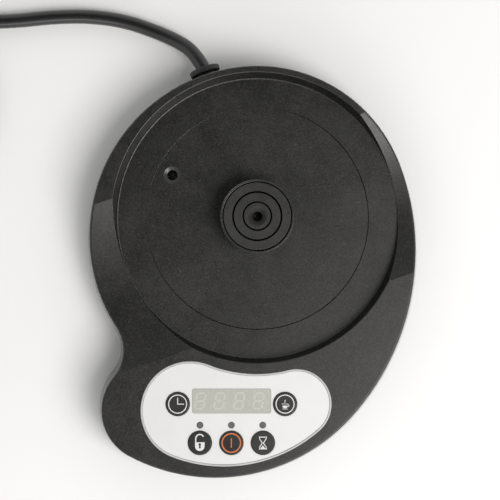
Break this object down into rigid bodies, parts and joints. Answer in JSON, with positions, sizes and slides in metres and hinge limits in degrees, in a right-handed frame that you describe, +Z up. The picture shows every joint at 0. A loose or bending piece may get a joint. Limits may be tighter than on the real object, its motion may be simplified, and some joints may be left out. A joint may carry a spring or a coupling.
{
  "type": "kettle power base",
  "caption": "Cordless electric kettle's power base: snail-shaped housing, round seat with ring connector, control panel with push buttons and a coiled mains cord.",
  "frame": {"origin": "connector's axis on the surface that the feet stand on", "axes": "+Z up along the connector, +Y to the back where the cord leaves, +X to the right seen from the control panel"},
  "size_m": [0.3118, 0.2406, 0.0368],
  "materials": {
    "housing_black": "fine spark-eroded grain",
    "foot_rubber": "matt",
    "screw_steel": "zinc plated",
    "label_silver": "matt foil, blank",
    "connector_black": "satin",
    "contact_brass": "bare",
    "trim_silver": "satin silver",
    "panel_white": "satin white",
    "window_grey": "translucent grey-beige",
    "module_black": "potted display",
    "component_black": "moulded",
    "lens_grey": "smoked",
    "led_white": "moulded",
    "board_green": "solder mask",
    "header_white": "moulded",
    "relay_blue": "moulded",
    "capacitor_yellow": "moulded",
    "transformer_yellow": "taped winding",
    "ribbon_grey": "flexible",
    "bush_rubber": "matt",
    "cord_black": "satin pvc jacket",
    "wire_grey": "pvc",
    "wire_brown": "pvc",
    "wire_blue": "pvc",
    "wire_green": "pvc",
    "plug_black": "satin",
    "pin_nickel": "nickel plated",
    "button_black": "satin",
    "plunger_grey": "moulded"
  },
  "bodies": {
    "base": {"top_cover": "housing_black", "base_tray": "housing_black", "rubber_feet": "foot_rubber", "housing_screws": "screw_steel", "rating_label": "label_silver", "connector_body": "connector_black", "contact_live": "contact_brass", "contact_neutral": "contact_brass", "contact_earth": "contact_brass", "connector_retainer": "connector_black", "connector_screws": "screw_steel", "panel_trim": "trim_silver", "panel_plate": "panel_white", "display_window": "window_grey", "display_module": "module_black", "push_switches": "component_black", "indicator_lenses": "lens_grey", "indicator_leds": "led_white", "control_board": "board_green", "controller_chip": "component_black", "board_headers": "header_white", "board_screws": "screw_steel", "power_board": "board_green", "relay": "relay_blue", "filter_capacitor": "capacitor_yellow", "transformer": "transformer_yellow", "smoothing_capacitor": "component_black", "buzzer": "component_black", "ribbon_cable": "ribbon_grey", "strain_relief": "bush_rubber", "cord_inner_end": "cord_black", "cord_clamp": "connector_black", "clamp_screws": "screw_steel", "terminal_block": "header_white", "entry_wires": "wire_grey", "live_wires": "wire_brown", "neutral_wire": "wire_blue", "earth_wire": "wire_green", "power_cord": "cord_black", "cord_coil": "cord_black", "cord_tail": "cord_black", "plug_body": "plug_black", "plug_pins": "pin_nickel", "plug_earth_clips": "pin_nickel"},
    "clock_key": {"button_clock": "button_black", "plunger_clock": "plunger_grey"},
    "brew_key": {"button_brew": "button_black", "plunger_brew": "plunger_grey"},
    "lock_key": {"button_lock": "button_black", "plunger_lock": "plunger_grey"},
    "power_key": {"button_power": "button_black", "plunger_power": "plunger_grey"},
    "timer_key": {"button_timer": "button_black", "plunger_timer": "plunger_grey"}
  },
  "joints": [
    {"name": "clock_press", "type": "slide", "parent": "base", "child": "clock_key", "axis": [0, 0, -1], "range_m": [0, 0.0006], "stiffness_N_per_m": 2500},
    {"name": "brew_press", "type": "slide", "parent": "base", "child": "brew_key", "axis": [0, 0, -1], "range_m": [0, 0.0006], "stiffness_N_per_m": 2500},
    {"name": "lock_press", "type": "slide", "parent": "base", "child": "lock_key", "axis": [0, 0, -1], "range_m": [0, 0.0006], "stiffness_N_per_m": 2500},
    {"name": "power_press", "type": "slide", "parent": "base", "child": "power_key", "axis": [0, 0, -1], "range_m": [0, 0.0006], "stiffness_N_per_m": 2500},
    {"name": "timer_press", "type": "slide", "parent": "base", "child": "timer_key", "axis": [0, 0, -1], "range_m": [0, 0.0006], "stiffness_N_per_m": 2500}
  ]
}
